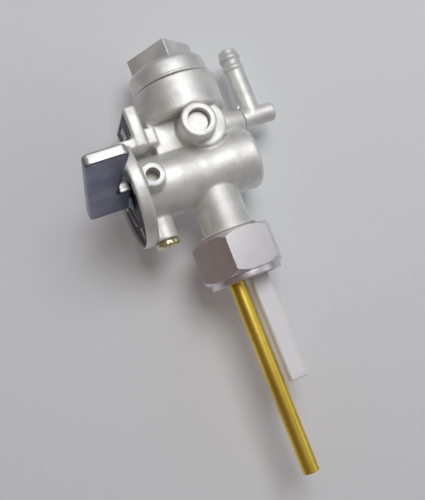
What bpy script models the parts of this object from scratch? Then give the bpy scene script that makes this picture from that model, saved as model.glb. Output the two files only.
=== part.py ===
# Motorcycle fuel tap: die-cast body, turning lever, sediment bowl, union nut, standpipe and strainer
# Metres, +Z up towards the tank. The origin is the middle of the tank seat, on the gasket's upper face.
# The barrel runs along X with the lever at +X, the outlet points to -X and the bowl hangs at -Z.

import math

import bmesh
import bpy
from mathutils import Matrix, Vector

MM = 0.001

# Driving dimensions shared by several pieces
GAP = 0.3 * MM                  # running or seating clearance between two pieces
CAST_EDGE = 0.5 * MM            # rounding of the large edges
FINE_EDGE = 0.3 * MM            # rounding of the small edges

# Driving dimensions of the tank end
GASKET_THICKNESS = 1.5 * MM
HEAD_RADIUS = 8.6 * MM          # threaded head of the casting, inside the union nut
HEAD_HEIGHT = 6.0 * MM
STUB_RADIUS = 7.4 * MM          # plain neck between barrel and head
SEAT_WALL = 1.55 * MM           # ring of the head that carries the gasket
BARREL_DROP = 27.0 * MM         # from the tank seat down to the barrel's axis
NUT_FLATS = 23.0 * MM
NUT_HEIGHT = 11.8 * MM
NUT_TOP = 5.1 * MM              # top of the hexagon above the tank seat
NUT_TURN = -67.0                # degrees, one corner of the hexagon seen from above
NUT_CHAMFER = 1.3 * MM
COLLAR_RADIUS = 12.0 * MM
COLLAR_HEIGHT = 2.3 * MM

# Driving dimensions of the pipes above the seat
PIPE_RADIUS = 2.5 * MM
PIPE_WALL = 0.5 * MM
PIPE_OFFSET = 3.5 * MM          # standpipe's axis from the tap's axis
PIPE_LENGTH_ABOVE = 65.3 * MM
PIPE_PRESSED = 9.0 * MM         # length pressed into the casting
STEM_WIDTH = 6.5 * MM
STEM_DEPTH = 5.2 * MM
STEM_OFFSET = 3.4 * MM
STEM_HEIGHT = 39.7 * MM
STEM_WALL = 0.9 * MM
STEM_RIB = 1.1 * MM             # solid strip left at each corner of the strainer stem
STEM_FOOT = 4.0 * MM            # plain length below the windows
STEM_ROUND = 0.8 * MM
STRAINER_PLATE = 1.2 * MM
MESH_WALL = 0.3 * MM

# Driving dimensions of the barrel and lever
BARREL_RADIUS = 9.4 * MM
BARREL_END = 15.5 * MM          # closed end, from the tap's axis
END_ROUND = 1.2 * MM
FLANGE_RADIUS = 15.8 * MM
FLANGE_INNER = 21.0 * MM
FLANGE_THICKNESS = 4.0 * MM
DIAL_RIM = 0.6 * MM
DIAL_DEPTH = 1.4 * MM
VALVE_BORE_RADIUS = 6.9 * MM
VALVE_BORE_END = 9.5 * MM       # how far the bore passes the tap's axis
SLEEVE_WALL = 1.3 * MM
SLEEVE_LENGTH = 18.0 * MM
WAVE_THICKNESS = 0.35 * MM
WAVE_HEIGHT = 0.3 * MM
WAVES = 3
PORT_RADIUS = 1.6 * MM
SEAL_SECTION = 0.75 * MM
SEAL_PLACE = 13.0 * MM          # plug seal, from the tap's axis
LEVER_TURN = 76.4               # degrees from hanging down, towards the viewer's side
BLADE_LENGTH = 28.9 * MM        # from the barrel's axis to the blade's tip
BLADE_TAIL = 3.4 * MM
BLADE_INNER = 24.9 * MM         # inner edge at the tip
BLADE_OUTER = 36.8 * MM
BLADE_NECK = 28.0 * MM          # inner edge where the tongue starts
BLADE_THICKNESS = 3.5 * MM
BLADE_ROUND = 1.6 * MM
BLADE_EDGE = 0.45 * MM
TONGUE_REACH = 8.2 * MM         # flat tongue from the blade to the dial, as thick as the blade
HUB_RADIUS = 4.0 * MM           # end of the plug that carries the tongue
STOP_SWEEP = 180.0              # degrees that the lever turns

# Driving dimensions of the bosses and the tab
SCREW_PLACE = 18.5 * MM         # screw boss, from the tap's axis
SCREW_BOSS_RADIUS = 3.9 * MM
SCREW_BOSS_SHORT = 0.2 * MM     # how far the boss ends below the flange's rim, so that the head clears it
SCREW_RADIUS = 1.4 * MM
SCREW_HEAD_RADIUS = 3.7 * MM
SCREW_HEAD_HEIGHT = 1.5 * MM
SCREW_SLOT = 0.8 * MM
WASHER_RADIUS = 2.2 * MM
WASHER_THICKNESS = 0.5 * MM
SPARE_PLACE = 18.2 * MM         # empty boss on the viewer's side, from the tap's axis
SPARE_TURN = 5.0                # degrees that the empty boss leans towards the bowl
SPARE_BOSS_RADIUS = 3.6 * MM
SPARE_BOSS_HEIGHT = 14.0 * MM
SPARE_HOLE_RADIUS = 1.95 * MM
SPARE_HOLE_DEPTH = 3.8 * MM
BIG_BOSS_RADIUS = 5.2 * MM
BIG_BOSS_FACE = 13.9 * MM       # from the tap's axis, on the viewer's side
BIG_BOSS_DROP = 12.1 * MM       # below the barrel's axis
BIG_RECESS_RADIUS = 3.3 * MM
BIG_RECESS_DEPTH = 3.2 * MM
BOSS_PAD_RADIUS = 7.0 * MM
BOSS_PAD_FACE = 8.8 * MM
BOSS_PAD_SHIFT = 2.4 * MM       # pad's middle from the boss, towards the outlet
DISC_THICKNESS = 1.0 * MM
TAB_OUTER = 19.0 * MM
TAB_THICKNESS = 3.8 * MM
TAB_WIDTH = 21.5 * MM
TAB_TOP = 22.8 * MM             # far edge, below the barrel's axis
TAB_BOTTOM = 10.2 * MM          # near edge, below the barrel's axis
TAB_BORDER = 1.2 * MM
TAB_RECESS = 0.5 * MM
TAB_ROUND = 0.8 * MM
WEB_HEIGHT = 3.4 * MM           # strip that joins the tab's foot to the flange
PLATE_THICKNESS = 0.3 * MM      # dark plates let into the dial and the tab
BLOCK_WIDTH = 16.0 * MM
BLOCK_INNER = 11.8 * MM         # where the block behind the tab ends, from the tap's axis
BLOCK_TOP = 15.9 * MM
BLOCK_HEIGHT = 5.0 * MM
WALL_WIDTH = 10.4 * MM          # wall between barrel and cup

# Driving dimensions of the cup and bowl
NECK_RADIUS = 7.0 * MM
CUP_RADIUS = 13.05 * MM
CUP_TOP_DROP = 16.8 * MM        # cup's shoulder, below the barrel's axis
CUP_HEIGHT = 10.4 * MM
CUP_BORE_RADIUS = 10.6 * MM
CUP_FLOOR = 2.2 * MM
RIM_RADIUS = 12.4 * MM
RIM_HEIGHT = 0.9 * MM
RIM_STANDOFF = 0.4 * MM         # dark gap between cup and bowl
BOWL_SEAL_SECTION = 0.35 * MM
BOWL_RADIUS = 11.9 * MM
BOWL_DEPTH = 6.4 * MM           # from the rim down to the shoulder's end
BOWL_SHOULDER = 2.4 * MM
BOWL_WALL = 2.9 * MM            # floor's thickness
BOWL_THREAD_WALL = 1.3 * MM     # of the threaded collar, round the screen
BOWL_THREAD = 5.5 * MM          # length that screws into the cup
HEAD_FLATS = 14.4 * MM          # square for the spanner
HEAD_TURN = 46.0                # degrees
SQUARE_HEIGHT = 5.4 * MM
SCREEN_WALL = 1.4 * MM
SCREEN_POSTS = 4
SCREEN_RING = 1.2 * MM

# Driving dimensions of the outlet
OUTLET_DROP = 11.6 * MM         # outlet's axis below the barrel's axis
OUTLET_RADIUS = 3.0 * MM
OUTLET_BOSS_RADIUS = 3.0 * MM   # at the joint
OUTLET_BOSS_ROOT = 4.2 * MM     # where it meets the cup's side
OUTLET_BOSS_LENGTH = 6.0 * MM
RETURN_BOSS_RADIUS = 2.8 * MM   # column that holds the drilling from the bowl to the outlet
OUTLET_JOINT = 17.2 * MM
OUTLET_END = 27.6 * MM
OUTLET_BORE = 1.5 * MM
OUTLET_ROUND = 0.8 * MM         # closed end of the elbow
SPIGOT_WALL = 0.7 * MM
SPIGOT_LENGTH = 5.0 * MM
NIPPLE_PLACE = 20.7 * MM
NIPPLE_RADIUS = 3.05 * MM
NIPPLE_TIP = 33.9 * MM          # below the barrel's axis
BARB_RADIUS = 3.4 * MM
BARB_START = 0.8 * MM           # from the tip to the first barb's slope
BARB_LENGTH = 3.4 * MM
BARBS = 2
GUSSET_LENGTH = 1.3 * MM
GUSSET_THICKNESS = 1.4 * MM

# Places worked out from the driving dimensions
SEAT = -GASKET_THICKNESS
BARREL_Z = -BARREL_DROP
HEAD_BOTTOM = SEAT - HEAD_HEIGHT
FLANGE_OUTER = FLANGE_INNER + FLANGE_THICKNESS
SCREW_BOSS_HEIGHT = FLANGE_RADIUS - SCREW_BOSS_SHORT
CUP_TOP = BARREL_Z - CUP_TOP_DROP
CUP_RIM = CUP_TOP - CUP_HEIGHT
CUP_INSIDE = CUP_TOP - CUP_FLOOR
BOWL_TOP = CUP_RIM - RIM_STANDOFF
SHOULDER_END = BOWL_TOP - BOWL_DEPTH
BOWL_HOLLOW = CUP_BORE_RADIUS - GAP - BOWL_THREAD_WALL
OUTLET_Z = BARREL_Z - OUTLET_DROP
RETURN_PLACE = -OUTLET_JOINT + 2 * SPIGOT_LENGTH - OUTLET_BORE
PLATE_RADIUS = HEAD_RADIUS - SEAT_WALL - GAP
SLEEVE_OUTER = VALVE_BORE_RADIUS - GAP
SLEEVE_INNER = SLEEVE_OUTER - SLEEVE_WALL
SLEEVE_START = GAP - VALVE_BORE_END
SLEEVE_STOP = SLEEVE_START + SLEEVE_LENGTH
WAVE_ROOM = WAVE_THICKNESS + 2 * WAVE_HEIGHT
PLUG_RADIUS = SLEEVE_INNER - GAP
PLUG_SHOULDER = SLEEVE_STOP + WAVE_ROOM + 2 * GAP
PLUG_BODY_RADIUS = VALVE_BORE_RADIUS - GAP

LARGE, MEDIUM, SMALL = 46, 28, 16       # sides of the round pieces
OVER = 1.0 * MM                         # how far a cutter passes the face it opens
CAST_PIECES = ("body", "lever", "outlet_elbow")


def clear_scene():
    for obj in list(bpy.data.objects):
        bpy.data.objects.remove(obj, do_unlink=True)


def material(name, colour, roughness, metallic):
    made = bpy.data.materials.new(name)
    made.use_nodes = True
    shader = made.node_tree.nodes["Principled BSDF"]
    shader.inputs["Base Color"].default_value = (*colour, 1)
    shader.inputs["Roughness"].default_value = roughness
    shader.inputs["Metallic"].default_value = metallic
    made.diffuse_color = (*colour, 1)
    return made


def object_from(name, bm, finish=None, place=(0, 0, 0)):
    bmesh.ops.recalc_face_normals(bm, faces=bm.faces)
    mesh = bpy.data.meshes.new(name)
    bm.to_mesh(mesh)
    bm.free()
    obj = bpy.data.objects.new(name, mesh)
    obj.location = place
    bpy.context.scene.collection.objects.link(obj)
    if finish:
        mesh.materials.append(finish)
    mesh.shade_smooth()
    mesh.set_sharp_from_angle(angle=math.radians(30))
    return obj


def turned(name, profile, sides, axis="Z", sweep=360.0, start=0.0, **rest):
    """A solid of revolution from (radius, place) points, a closed outline or one from axis to axis."""
    bm = bmesh.new()
    verts = [bm.verts.new((radius, 0, along)) for radius, along in profile]
    on_axis = profile[0][0] == 0 and profile[-1][0] == 0
    ends = verts[1:] if on_axis else verts[1:] + verts[:1]
    edges = [bm.edges.new(pair) for pair in zip(verts, ends)]
    bmesh.ops.rotate(bm, verts=verts, cent=(0, 0, 0), matrix=Matrix.Rotation(math.radians(start), 3, "Z"))
    bmesh.ops.spin(bm, geom=verts + edges, axis=(0, 0, 1), cent=(0, 0, 0), steps=sides,
                   angle=math.radians(sweep), use_merge=sweep == 360)
    bmesh.ops.remove_doubles(bm, verts=bm.verts, dist=1e-6)
    if sweep != 360:
        bmesh.ops.holes_fill(bm, edges=bm.edges, sides=0)
    turns = {"Z": Matrix.Identity(3), "X": Matrix.Rotation(math.radians(90), 3, "Y"),
             "-Y": Matrix.Rotation(math.radians(90), 3, "X")}
    bmesh.ops.rotate(bm, verts=bm.verts, cent=(0, 0, 0), matrix=turns[axis])
    return object_from(name, bm, **rest)


def rod(name, radius, start, stop, sides=SMALL, axis="Z", **rest):
    return turned(name, [(0, start), (radius, start), (radius, stop), (0, stop)], sides, axis, **rest)


def box(name, low, high, bevel=0.0, segments=2, **rest):
    bm = bmesh.new()
    bmesh.ops.create_cube(bm, size=1)
    low, high = Vector(low), Vector(high)
    bmesh.ops.scale(bm, verts=bm.verts, vec=high - low)
    bmesh.ops.translate(bm, verts=bm.verts, vec=(high + low) / 2)
    if bevel:
        bmesh.ops.bevel(bm, geom=bm.edges, offset=bevel, segments=segments, profile=0.5, affect="EDGES")
    return object_from(name, bm, **rest)


def prism(name, outline, low, high, plane="XY", bevel=0.0, **rest):
    """An outline of (a, b) points extruded along the third direction; plane XY rises along Z, XZ along Y."""
    bm = bmesh.new()
    put = (lambda a, b: (a, b, low)) if plane == "XY" else (lambda a, b: (a, low, b))
    face = bm.faces.new([bm.verts.new(put(a, b)) for a, b in outline])
    rise = (0, 0, high - low) if plane == "XY" else (0, high - low, 0)
    raised = bmesh.ops.extrude_face_region(bm, geom=[face])["geom"]
    bmesh.ops.translate(bm, verts=[v for v in raised if isinstance(v, bmesh.types.BMVert)], vec=rise)
    bmesh.ops.recalc_face_normals(bm, faces=bm.faces)
    if bevel:
        rims = [edge for edge in bm.edges if len(edge.link_faces[0].verts) != len(edge.link_faces[1].verts)]
        bmesh.ops.bevel(bm, geom=rims, offset=bevel, segments=3, profile=0.5, affect="EDGES")
    return object_from(name, bm, **rest)


def arc(centre, radius, start, stop, steps=4):
    """Points round a centre in a profile's plane, from one angle in degrees to another."""
    turns = [math.radians(start + (stop - start) * step / steps) for step in range(steps + 1)]
    return [(centre[0] + radius * math.cos(turn), centre[1] + radius * math.sin(turn)) for turn in turns]


def rounded_box_outline(width, depth, corner, centre=(0, 0)):
    x, y = width / 2 - corner, depth / 2 - corner
    spots = ((x, y, 0), (-x, y, 90), (-x, -y, 180), (x, -y, 270))
    return [point for a, b, turn in spots
            for point in arc((centre[0] + a, centre[1] + b), corner, turn, turn + 90, 3)]


def combine(target, tool, operation):
    """Many round forms meet in the castings, which are therefore joined by the method for closed meshes."""
    tool.hide_render = True
    tool.display_type = "WIRE"
    modifier = target.modifiers.new(tool.name, "BOOLEAN")
    modifier.operation = operation
    modifier.solver = "MANIFOLD" if target.name in CAST_PIECES else "EXACT"
    modifier.object = tool


def add(target, *tools):
    for tool in tools:
        combine(target, tool, "UNION")


def cut(target, *tools):
    for tool in tools:
        combine(target, tool, "DIFFERENCE")


def ring_profile(radius, place, section, steps=8):
    """The section of a rubber ring, as a closed outline."""
    return arc((radius, place), section, 0, 360 * (steps - 1) / steps, steps - 1)


def body_forms(finish):
    """The casting's outside: cup, neck, stub and head turned about Z, then barrel, flange, bosses and tab."""
    r, c = CAST_EDGE, FINE_EDGE
    upright = [(0, CUP_RIM), (CUP_RADIUS - r, CUP_RIM), (CUP_RADIUS, CUP_RIM + r), (CUP_RADIUS, CUP_TOP - r),
               (CUP_RADIUS - r, CUP_TOP), (NECK_RADIUS, CUP_TOP), (NECK_RADIUS, BARREL_Z),
               (STUB_RADIUS, BARREL_Z), (STUB_RADIUS, HEAD_BOTTOM), (HEAD_RADIUS - r, HEAD_BOTTOM),
               (HEAD_RADIUS, HEAD_BOTTOM + r), (HEAD_RADIUS, SEAT), (0, SEAT)]
    body = turned("body", upright, LARGE, finish=finish)
    e, f = END_ROUND, CAST_EDGE
    barrel = [(0, -BARREL_END)] + arc((BARREL_RADIUS - e, e - BARREL_END), e, -90, 0)
    barrel += [(BARREL_RADIUS, FLANGE_INNER), (FLANGE_RADIUS - f, FLANGE_INNER),
               (FLANGE_RADIUS, FLANGE_INNER + f), (FLANGE_RADIUS, FLANGE_OUTER - f),
               (FLANGE_RADIUS - f, FLANGE_OUTER), (FLANGE_RADIUS - DIAL_RIM, FLANGE_OUTER),
               (FLANGE_RADIUS - DIAL_RIM, FLANGE_OUTER - DIAL_DEPTH), (0, FLANGE_OUTER - DIAL_DEPTH)]
    axis = (0, 0, BARREL_Z)
    add(body, turned("barrel_form", barrel, LARGE, "X", place=axis))
    inside = BARREL_RADIUS / 2
    boss = [(0, inside), (BIG_BOSS_RADIUS, inside), (BIG_BOSS_RADIUS, BIG_BOSS_FACE - c),
            (BIG_BOSS_RADIUS - c, BIG_BOSS_FACE), (0, BIG_BOSS_FACE)]
    pad = [(0, inside), (BOSS_PAD_RADIUS, inside), (BOSS_PAD_RADIUS, BOSS_PAD_FACE - c),
           (BOSS_PAD_RADIUS - c, BOSS_PAD_FACE), (0, BOSS_PAD_FACE)]
    low = (0, 0, BARREL_Z - BIG_BOSS_DROP)
    add(body, turned("boss_pad", pad, MEDIUM, "-Y", place=(-BOSS_PAD_SHIFT, 0, low[2])),
        turned("big_boss", boss, MEDIUM, "-Y", place=low))
    spare = [(0, inside), (SPARE_BOSS_RADIUS, inside), (SPARE_BOSS_RADIUS, SPARE_BOSS_HEIGHT - c),
             (SPARE_BOSS_RADIUS - c, SPARE_BOSS_HEIGHT), (0, SPARE_BOSS_HEIGHT)]
    spare_boss = turned("spare_boss", spare, MEDIUM, "-Y", place=(SPARE_PLACE, 0, BARREL_Z))
    spare_boss.rotation_euler.x = math.radians(SPARE_TURN)
    screw_boss = rod("screw_boss", SCREW_BOSS_RADIUS, inside, SCREW_BOSS_HEIGHT, MEDIUM,
                     place=(SCREW_PLACE, 0, BARREL_Z))
    add(body, spare_boss, screw_boss)
    root = OUTLET_BOSS_LENGTH - OUTLET_JOINT
    taper = [(0, -OUTLET_JOINT), (OUTLET_BOSS_RADIUS, -OUTLET_JOINT), (OUTLET_BOSS_ROOT, root),
             (OUTLET_BOSS_ROOT, -inside), (0, -inside)]
    outlet = turned("outlet_boss", taper, MEDIUM, "X", place=(0, 0, OUTLET_Z))
    tab = box("tab_form", (TAB_OUTER - TAB_THICKNESS, -TAB_WIDTH / 2, BARREL_Z - TAB_TOP),
              (TAB_OUTER, TAB_WIDTH / 2, BARREL_Z - TAB_BOTTOM), TAB_ROUND)
    column = rod("return_boss", RETURN_BOSS_RADIUS, CUP_INSIDE, OUTLET_Z, place=(RETURN_PLACE, 0, 0))
    middle, foot = TAB_OUTER - TAB_THICKNESS / 2, BARREL_Z - TAB_BOTTOM
    web = box("tab_web", (middle, -TAB_WIDTH / 2 + c, foot - WEB_HEIGHT),
              (FLANGE_OUTER - DIAL_DEPTH, TAB_WIDTH / 2 - c, foot - c))
    block = box("tab_block", (BLOCK_INNER, -BLOCK_WIDTH / 2, BARREL_Z - BLOCK_TOP),
                (middle, BLOCK_WIDTH / 2, BARREL_Z - BLOCK_TOP + BLOCK_HEIGHT), c)
    wall = box("cup_wall", (0, -WALL_WIDTH / 2, CUP_TOP - CUP_FLOOR / 2),
               (BLOCK_INNER + OVER, WALL_WIDTH / 2, BARREL_Z - inside))
    add(body, outlet, column, tab, web, wall, block)
    return body


def body_bores(body):
    """Everything drilled or cored out of the casting."""
    axis, side = (0, 0, BARREL_Z), (SCREW_PLACE, 0, BARREL_Z)
    low = (0, 0, BARREL_Z - BIG_BOSS_DROP)
    spare_hole = rod("spare_hole", SPARE_HOLE_RADIUS, SPARE_BOSS_HEIGHT - SPARE_HOLE_DEPTH,
                     SPARE_BOSS_HEIGHT + OVER, axis="-Y", place=(SPARE_PLACE, 0, BARREL_Z))
    spare_hole.rotation_euler.x = math.radians(SPARE_TURN)
    cut(body, rod("cup_bore", CUP_BORE_RADIUS, CUP_RIM - OVER, CUP_INSIDE, LARGE),
        rod("valve_bore", VALVE_BORE_RADIUS, -VALVE_BORE_END, FLANGE_OUTER + OVER, LARGE, "X", place=axis),
        rod("seat_bore", HEAD_RADIUS - SEAT_WALL, SEAT - STRAINER_PLATE - GAP, SEAT + OVER, MEDIUM),
        rod("main_drilling", PIPE_RADIUS + GAP, BARREL_Z, SEAT, place=(PIPE_OFFSET, 0, 0)),
        rod("reserve_drilling", PORT_RADIUS + GAP, BARREL_Z, SEAT, place=(-STEM_OFFSET, 0, 0)),
        rod("bowl_drilling", PORT_RADIUS + GAP, CUP_INSIDE - OVER, BARREL_Z),
        rod("screw_hole", SCREW_RADIUS + GAP, 0, SCREW_BOSS_HEIGHT + OVER, place=side),
        spare_hole,
        rod("disc_recess", BIG_RECESS_RADIUS, BIG_BOSS_FACE - BIG_RECESS_DEPTH, BIG_BOSS_FACE + OVER,
            MEDIUM, "-Y", place=low),
        rod("disc_drilling", PORT_RADIUS, 0, BIG_BOSS_FACE, axis="-Y", place=low),
        rod("outlet_bore", OUTLET_BORE + SPIGOT_WALL + GAP, -OUTLET_JOINT - OVER,
            GAP - OUTLET_JOINT + 2 * SPIGOT_LENGTH, axis="X", place=(0, 0, OUTLET_Z)),
        rod("return_drilling", OUTLET_BORE, CUP_INSIDE - OVER, OUTLET_Z, place=(RETURN_PLACE, 0, 0)))
    low_corner, high_corner = tab_panel_corners()
    cut(body, box("tab_panel", low_corner, high_corner))


def tab_panel_corners():
    """Recess in the tab's outer face, above the flange."""
    half = TAB_WIDTH / 2 - TAB_BORDER
    return (Vector((TAB_OUTER - TAB_RECESS, -half, BARREL_Z - TAB_TOP + TAB_BORDER)),
            Vector((TAB_OUTER + OVER, half, BARREL_Z - TAB_BOTTOM - WEB_HEIGHT - TAB_BORDER)))


def dial_plates(finish):
    """Dark plates with the lever's positions, one round the hub and one on the tab."""
    inner, outer = VALVE_BORE_RADIUS + GAP, FLANGE_RADIUS - DIAL_RIM - GAP / 2
    low = FLANGE_OUTER - DIAL_DEPTH
    high = low + PLATE_THICKNESS
    turned("dial_plate", [(inner, low), (outer, low), (outer, high), (inner, high)], LARGE, "X",
           place=(0, 0, BARREL_Z), finish=finish)
    low_corner, high_corner = tab_panel_corners()
    edge = Vector((0, GAP / 2, GAP / 2))
    high_corner.x = low_corner.x + PLATE_THICKNESS
    box("tab_plate", low_corner + edge, high_corner - edge, finish=finish)


def passage_disc(finish):
    """Disc pressed into the big boss, which closes the drilling behind it."""
    floor = BIG_BOSS_FACE - BIG_RECESS_DEPTH
    rod("passage_disc", BIG_RECESS_RADIUS - GAP, floor, floor + DISC_THICKNESS, MEDIUM, "-Y",
        place=(0, 0, BARREL_Z - BIG_BOSS_DROP), finish=finish)


def union_nut(finish):
    """Hexagon with turned chamfers and a plain collar, bored right through."""
    bottom, top = NUT_TOP - NUT_HEIGHT, NUT_TOP
    corner = NUT_FLATS / 2 / math.cos(math.radians(30))
    outline = [(corner * math.cos(turn), corner * math.sin(turn))
               for turn in (math.radians(NUT_TURN + 60 * step) for step in range(6))]
    nut = prism("union_nut", outline, bottom, top, finish=finish)
    face, c = NUT_FLATS / 2 - GAP / 2, NUT_CHAMFER
    far = corner + c
    slope = (far - face) * math.tan(math.radians(30))
    chamfers = [(0, bottom - c), (face, bottom - GAP), (far, bottom + slope), (far, top - slope),
                (face, top + GAP), (0, top + c)]
    combine(nut, turned("nut_chamfers", chamfers, LARGE), "INTERSECT")
    r = FINE_EDGE
    collar = [(0, top - OVER), (COLLAR_RADIUS, top - OVER), (COLLAR_RADIUS, top + COLLAR_HEIGHT - r),
              (COLLAR_RADIUS - r, top + COLLAR_HEIGHT), (0, top + COLLAR_HEIGHT)]
    add(nut, turned("nut_collar", collar, LARGE))
    cut(nut, rod("nut_bore", HEAD_RADIUS + GAP, bottom - OVER, top + COLLAR_HEIGHT + OVER, LARGE))


def tank_gasket(finish):
    inner, outer = HEAD_RADIUS - SEAT_WALL + GAP / 2, HEAD_RADIUS - GAP / 2
    turned("tank_gasket", [(inner, SEAT), (outer, SEAT), (outer, 0), (inner, 0)], LARGE, finish=finish)


def standpipe(finish):
    """Brass tube that takes the main supply from above the sediment."""
    inner, start = PIPE_RADIUS - PIPE_WALL, SEAT - PIPE_PRESSED
    e, top = PIPE_WALL / 4, PIPE_LENGTH_ABOVE
    profile = [(inner, start), (PIPE_RADIUS, start), (PIPE_RADIUS, top - e), (PIPE_RADIUS - e, top),
               (inner + e, top), (inner, top - e)]
    turned("standpipe", profile, MEDIUM, place=(PIPE_OFFSET, 0, 0), finish=finish)


def strainer(frame_finish, mesh_finish):
    """Moulded plate and stem with a long window in each face, and the gauze that lines it."""
    bottom = SEAT - STRAINER_PLATE
    centre = (-STEM_OFFSET, 0)
    frame = rod("strainer_frame", PLATE_RADIUS, bottom, SEAT, LARGE, finish=frame_finish)
    outline = rounded_box_outline(STEM_WIDTH, STEM_DEPTH, STEM_ROUND, centre)
    add(frame, prism("stem_form", outline, bottom + OVER / 2, STEM_HEIGHT, bevel=FINE_EDGE))
    w, d = STEM_WIDTH - 2 * STEM_WALL, STEM_DEPTH - 2 * STEM_WALL
    cut(frame, prism("stem_hollow", rounded_box_outline(w, d, STEM_ROUND / 2, centre), bottom - OVER,
                     STEM_HEIGHT - STEM_WALL),
        rod("pipe_hole", PIPE_RADIUS + GAP, bottom - OVER, SEAT + OVER, place=(PIPE_OFFSET, 0, 0)))
    low, high = STEM_FOOT, STEM_HEIGHT - 2 * STEM_RIB
    half = (STEM_WIDTH / 2 - STEM_RIB, STEM_DEPTH / 2 - STEM_RIB)
    x = centre[0]
    cut(frame, box("windows_front", (x - half[0], -STEM_DEPTH, low), (x + half[0], STEM_DEPTH, high)),
        box("windows_side", (x - STEM_WIDTH, -half[1], low), (x + STEM_WIDTH, half[1], high)))
    w, d = w - 2 * GAP, d - 2 * GAP
    top = STEM_HEIGHT - STEM_WALL - GAP
    gauze = prism("strainer_mesh", rounded_box_outline(w, d, STEM_ROUND / 2, centre), bottom + GAP, top,
                  finish=mesh_finish)
    w, d = w - 2 * MESH_WALL, d - 2 * MESH_WALL
    cut(gauze, prism("mesh_hollow", rounded_box_outline(w, d, STEM_ROUND / 4, centre), bottom - OVER,
                     top - MESH_WALL))


def valve(sleeve_finish, spring_finish, seal_finish):
    """What the barrel's bore holds round the plug: ported sleeve, wave washer and seal."""
    axis = (0, 0, BARREL_Z)
    sleeve = turned("valve_sleeve", [(SLEEVE_INNER, SLEEVE_START), (SLEEVE_OUTER, SLEEVE_START),
                                     (SLEEVE_OUTER, SLEEVE_STOP), (SLEEVE_INNER, SLEEVE_STOP)],
                    LARGE, "X", place=axis, finish=sleeve_finish)
    cut(sleeve, rod("sleeve_main_port", PORT_RADIUS, 0, 2 * SLEEVE_OUTER, place=(PIPE_OFFSET, 0, BARREL_Z)),
        rod("sleeve_reserve_port", PORT_RADIUS, 0, 2 * SLEEVE_OUTER, place=(-STEM_OFFSET, 0, BARREL_Z)),
        rod("sleeve_bowl_port", PORT_RADIUS, -2 * SLEEVE_OUTER, 0, place=axis))
    wave_washer(spring_finish)
    turned("plug_seal", ring_profile(PLUG_BODY_RADIUS - SEAL_SECTION, SEAL_PLACE, SEAL_SECTION), MEDIUM, "X",
           place=axis, finish=seal_finish)


def wave_washer(finish):
    """Flat ring bent into waves, which pushes the plug against its retaining screw."""
    bm = bmesh.new()
    middle = SLEEVE_STOP + GAP + WAVE_ROOM / 2
    rings = []
    for step in range(MEDIUM):
        turn = 2 * math.pi * step / MEDIUM
        lift = middle + WAVE_HEIGHT * math.cos(WAVES * turn)
        low, high = lift - WAVE_THICKNESS / 2, lift + WAVE_THICKNESS / 2
        section = ((SLEEVE_INNER, low), (SLEEVE_OUTER, low), (SLEEVE_OUTER, high), (SLEEVE_INNER, high))
        rings.append([bm.verts.new((along, radius * math.cos(turn), radius * math.sin(turn)))
                      for radius, along in section])
    for one, two in zip(rings, rings[1:] + rings[:1]):
        for k in range(4):
            bm.faces.new((one[k], one[(k + 1) % 4], two[(k + 1) % 4], two[k]))
    object_from("wave_washer", bm, finish, (0, 0, BARREL_Z))


def lever(finish):
    """Blade, hub and ported plug in one casting, modelled hanging down and then turned about the barrel."""
    g = SEAL_SECTION + GAP
    floor = PLUG_BODY_RADIUS - 2 * SEAL_SECTION - GAP
    end = FLANGE_OUTER - DIAL_DEPTH
    inner = end + PLATE_THICKNESS + GAP
    profile = [(0, SLEEVE_START + GAP), (PLUG_RADIUS, SLEEVE_START + GAP), (PLUG_RADIUS, PLUG_SHOULDER),
               (PLUG_BODY_RADIUS, PLUG_SHOULDER), (PLUG_BODY_RADIUS, SEAL_PLACE - g), (floor, SEAL_PLACE - g),
               (floor, SEAL_PLACE + g), (PLUG_BODY_RADIUS, SEAL_PLACE + g), (PLUG_BODY_RADIUS, end),
               (HUB_RADIUS, end), (HUB_RADIUS, inner + GAP), (0, inner + GAP)]
    handle = turned("lever", profile, LARGE, "X", place=(0, 0, BARREL_Z), finish=finish)
    handle.rotation_euler.x = -math.radians(LEVER_TURN)
    r = BLADE_ROUND
    outline = arc((BLADE_OUTER - r, BLADE_TAIL - r), r, 90, 0)
    outline += arc((BLADE_OUTER - r, r - BLADE_LENGTH), r, 0, -90)
    outline += arc((BLADE_INNER + r, r - BLADE_LENGTH), r, -90, -180)
    outline += arc((BLADE_NECK - r / 2, -TONGUE_REACH - r / 2), r / 2, 0, 90)
    outline += [(inner, -TONGUE_REACH), (inner, BLADE_TAIL)]
    blade = prism("blade_form", outline, -BLADE_THICKNESS / 2, BLADE_THICKNESS / 2, "XZ", BLADE_EDGE)
    tip = SCREW_RADIUS + GAP
    spread = math.degrees(math.asin(tip / (PLUG_BODY_RADIUS - SCREW_RADIUS)))
    track = turned("stop_track", [(PLUG_BODY_RADIUS - SCREW_RADIUS, SCREW_PLACE - tip),
                                  (PLUG_BODY_RADIUS + OVER, SCREW_PLACE - tip),
                                  (PLUG_BODY_RADIUS + OVER, SCREW_PLACE + tip),
                                  (PLUG_BODY_RADIUS - SCREW_RADIUS, SCREW_PLACE + tip)],
                   LARGE, "X", STOP_SWEEP + 2 * spread, 180 - spread)
    core = rod("plug_core", PORT_RADIUS + GAP, SLEEVE_START, PIPE_OFFSET + PORT_RADIUS + GAP, axis="X")
    ports = [rod("plug_main_port", PORT_RADIUS, 0, 2 * PLUG_RADIUS, place=(PIPE_OFFSET, 0, 0)),
             rod("plug_reserve_port", PORT_RADIUS, -2 * PLUG_RADIUS, 0, place=(-STEM_OFFSET, 0, 0)),
             rod("plug_bowl_port", PORT_RADIUS, -2 * PLUG_RADIUS, 2 * PLUG_RADIUS)]
    add(handle, blade)
    cut(handle, track, core, *ports)
    for tool in (blade, track, core, *ports):
        tool.parent = handle


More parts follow.
